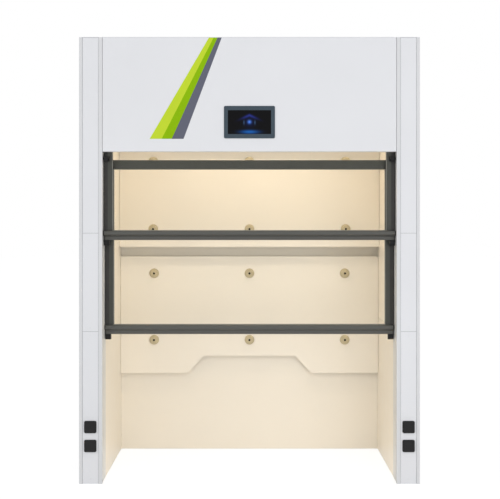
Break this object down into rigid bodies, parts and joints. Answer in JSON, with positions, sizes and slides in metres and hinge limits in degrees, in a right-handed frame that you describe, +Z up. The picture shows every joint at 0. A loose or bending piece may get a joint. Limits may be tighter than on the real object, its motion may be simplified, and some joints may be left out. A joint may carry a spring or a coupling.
{
  "type": "walk-in fume hood",
  "caption": "Tall floor-standing fume hood with counterbalanced glass sashes, a lined chamber with baffles and rod bosses, a touch screen, exhaust spigot and lidded sockets.",
  "frame": {"origin": "on the floor under the centre of the hood's box", "axes": "+Z up, -Y to the front where the sashes are, +X to the right seen from the front"},
  "size_m": [1.8, 0.9, 2.43],
  "materials": {
    "painted_steel": "pale grey semi-gloss powder coat",
    "chamber_lining": "cream laminate board, satin",
    "sash_frame": "anthracite powder-coated extrusion",
    "track": "pale satin coated extrusion",
    "black_plastic": "black moulded plastic",
    "rubber": "black rubber",
    "clear_glass": "clear safety glass",
    "stripe_print": "printed vinyl in three flat colours",
    "bezel": "slate blue-grey moulded bezel",
    "screen": "dark glossy touch panel",
    "boss_beige": "beige moulded boss",
    "frame_steel": "galvanised steel",
    "cable": "stranded steel cable",
    "pulley": "natural nylon",
    "weight": "plain cast iron",
    "lamp_tube": "opal lamp tube"
  },
  "bodies": {
    "cabinet": {"post_right": "painted_steel", "post_left": "painted_steel", "socket_panels": "painted_steel", "post_covers": "painted_steel", "header_panel": "painted_steel", "header_decal": "stripe_print", "screen_bezel": "bezel", "screen_glass": "screen", "screen_housing": "black_plastic", "side_panel_right": "painted_steel", "side_panel_left": "painted_steel", "rear_panel": "painted_steel", "roof_panel": "painted_steel", "lower_side_linings": "chamber_lining", "upper_side_linings": "chamber_lining", "rear_lining": "chamber_lining", "ceiling_lining": "chamber_lining", "lamp_glass": "clear_glass", "lamp_housing": "painted_steel", "lamp_tubes": "lamp_tube", "exhaust_spigot": "frame_steel", "upper_baffle": "chamber_lining", "lower_baffle": "chamber_lining", "baffle_spacers": "boss_beige", "rod_bosses": "boss_beige", "sash_track_right": "track", "sash_track_left": "track", "base_rails": "frame_steel", "top_beams": "frame_steel", "rear_frame": "frame_steel", "pulley_brackets": "frame_steel", "cable_wraps": "cable", "socket_bodies": "black_plastic"},
    "front_sash": {"front_sash_buffers": "rubber", "front_sash_glass": "clear_glass", "front_sash_stiles": "sash_frame", "front_sash_guides": "black_plastic", "front_sash_top_rail": "sash_frame", "front_sash_handle_rail": "sash_frame", "front_sash_end_blocks": "black_plastic", "front_sash_cables": "cable"},
    "rear_sash": {"rear_sash_glass": "clear_glass", "rear_sash_stiles": "sash_frame", "rear_sash_guides": "black_plastic", "rear_sash_top_rail": "sash_frame", "rear_sash_handle_rail": "sash_frame", "rear_sash_end_blocks": "black_plastic", "rear_sash_cables": "cable"},
    "front_weight_pair": {"front_weights": "weight", "front_weight_cables": "cable"},
    "rear_weight_pair": {"rear_weights": "weight", "rear_weight_cables": "cable"},
    "front_pulley_left": {"front_pulley_left": "pulley"},
    "front_pulley_right": {"front_pulley_right": "pulley"},
    "rear_pulley_left": {"rear_pulley_left": "pulley"},
    "rear_pulley_right": {"rear_pulley_right": "pulley"},
    "socket_lid_left_lower": {"socket_lid_left_lower": "black_plastic"},
    "socket_lid_left_upper": {"socket_lid_left_upper": "black_plastic"},
    "socket_lid_right_lower": {"socket_lid_right_lower": "black_plastic"},
    "socket_lid_right_upper": {"socket_lid_right_upper": "black_plastic"}
  },
  "joints": [
    {"name": "front_sash_slide", "type": "slide", "parent": "cabinet", "child": "front_sash", "axis": [0, 0, 1], "range_m": [-0.4, 0.021], "deforming": ["front_sash_cables"]},
    {"name": "front_weight_slide", "type": "slide", "parent": "cabinet", "child": "front_weight_pair", "axis": [0, 0, 1], "range_m": [-0.021, 0.4], "deforming": ["front_weight_cables"]},
    {"name": "front_pulley_left_spin", "type": "hinge", "parent": "cabinet", "child": "front_pulley_left", "pos_m": [-0.8075, -0.379, 2.29], "axis": [0, 1, 0], "range_deg": [-30.58, 573.46]},
    {"name": "front_pulley_right_spin", "type": "hinge", "parent": "cabinet", "child": "front_pulley_right", "pos_m": [0.8075, -0.379, 2.29], "axis": [0, 1, 0], "range_deg": [-573.46, 30.58]},
    {"name": "rear_sash_slide", "type": "slide", "parent": "cabinet", "child": "rear_sash", "axis": [0, 0, 1], "range_m": [-0.75, 0.5], "deforming": ["rear_sash_cables"]},
    {"name": "rear_weight_slide", "type": "slide", "parent": "cabinet", "child": "rear_weight_pair", "axis": [0, 0, 1], "range_m": [-0.5, 0.75], "deforming": ["rear_weight_cables"]},
    {"name": "rear_pulley_left_spin", "type": "hinge", "parent": "cabinet", "child": "rear_pulley_left", "pos_m": [-0.8075, -0.331, 2.29], "axis": [0, 1, 0], "range_deg": [-716.7, 1074.8]},
    {"name": "rear_pulley_right_spin", "type": "hinge", "parent": "cabinet", "child": "rear_pulley_right", "pos_m": [0.8075, -0.331, 2.29], "axis": [0, 1, 0], "range_deg": [-1074.8, 716.7]},
    {"name": "socket_lid_left_lower_hinge", "type": "hinge", "parent": "cabinet", "child": "socket_lid_left_lower", "pos_m": [-0.84025, -0.4477, 0.2285], "axis": [-1, 0, 0], "range_deg": [0, 100], "stiffness_Nm_per_rad": 0.02, "springref_deg": -28.65},
    {"name": "socket_lid_left_upper_hinge", "type": "hinge", "parent": "cabinet", "child": "socket_lid_left_upper", "pos_m": [-0.84025, -0.4477, 0.3285], "axis": [-1, 0, 0], "range_deg": [0, 100], "stiffness_Nm_per_rad": 0.02, "springref_deg": -28.65},
    {"name": "socket_lid_right_lower_hinge", "type": "hinge", "parent": "cabinet", "child": "socket_lid_right_lower", "pos_m": [0.84025, -0.4477, 0.2285], "axis": [-1, 0, 0], "range_deg": [0, 100], "stiffness_Nm_per_rad": 0.02, "springref_deg": -28.65},
    {"name": "socket_lid_right_upper_hinge", "type": "hinge", "parent": "cabinet", "child": "socket_lid_right_upper", "pos_m": [0.84025, -0.4477, 0.3285], "axis": [-1, 0, 0], "range_deg": [0, 100], "stiffness_Nm_per_rad": 0.02, "springref_deg": -28.65}
  ],
  "couplings": [
    {"joint": "front_weight_slide", "follows": "front_sash_slide", "ratio": -1},
    {"joint": "front_pulley_left_spin", "follows": "front_sash_slide", "rad_per_m": -25},
    {"joint": "front_pulley_right_spin", "follows": "front_sash_slide", "rad_per_m": 25},
    {"joint": "rear_weight_slide", "follows": "rear_sash_slide", "ratio": -1},
    {"joint": "rear_pulley_left_spin", "follows": "rear_sash_slide", "rad_per_m": -25},
    {"joint": "rear_pulley_right_spin", "follows": "rear_sash_slide", "rad_per_m": 25}
  ]
}
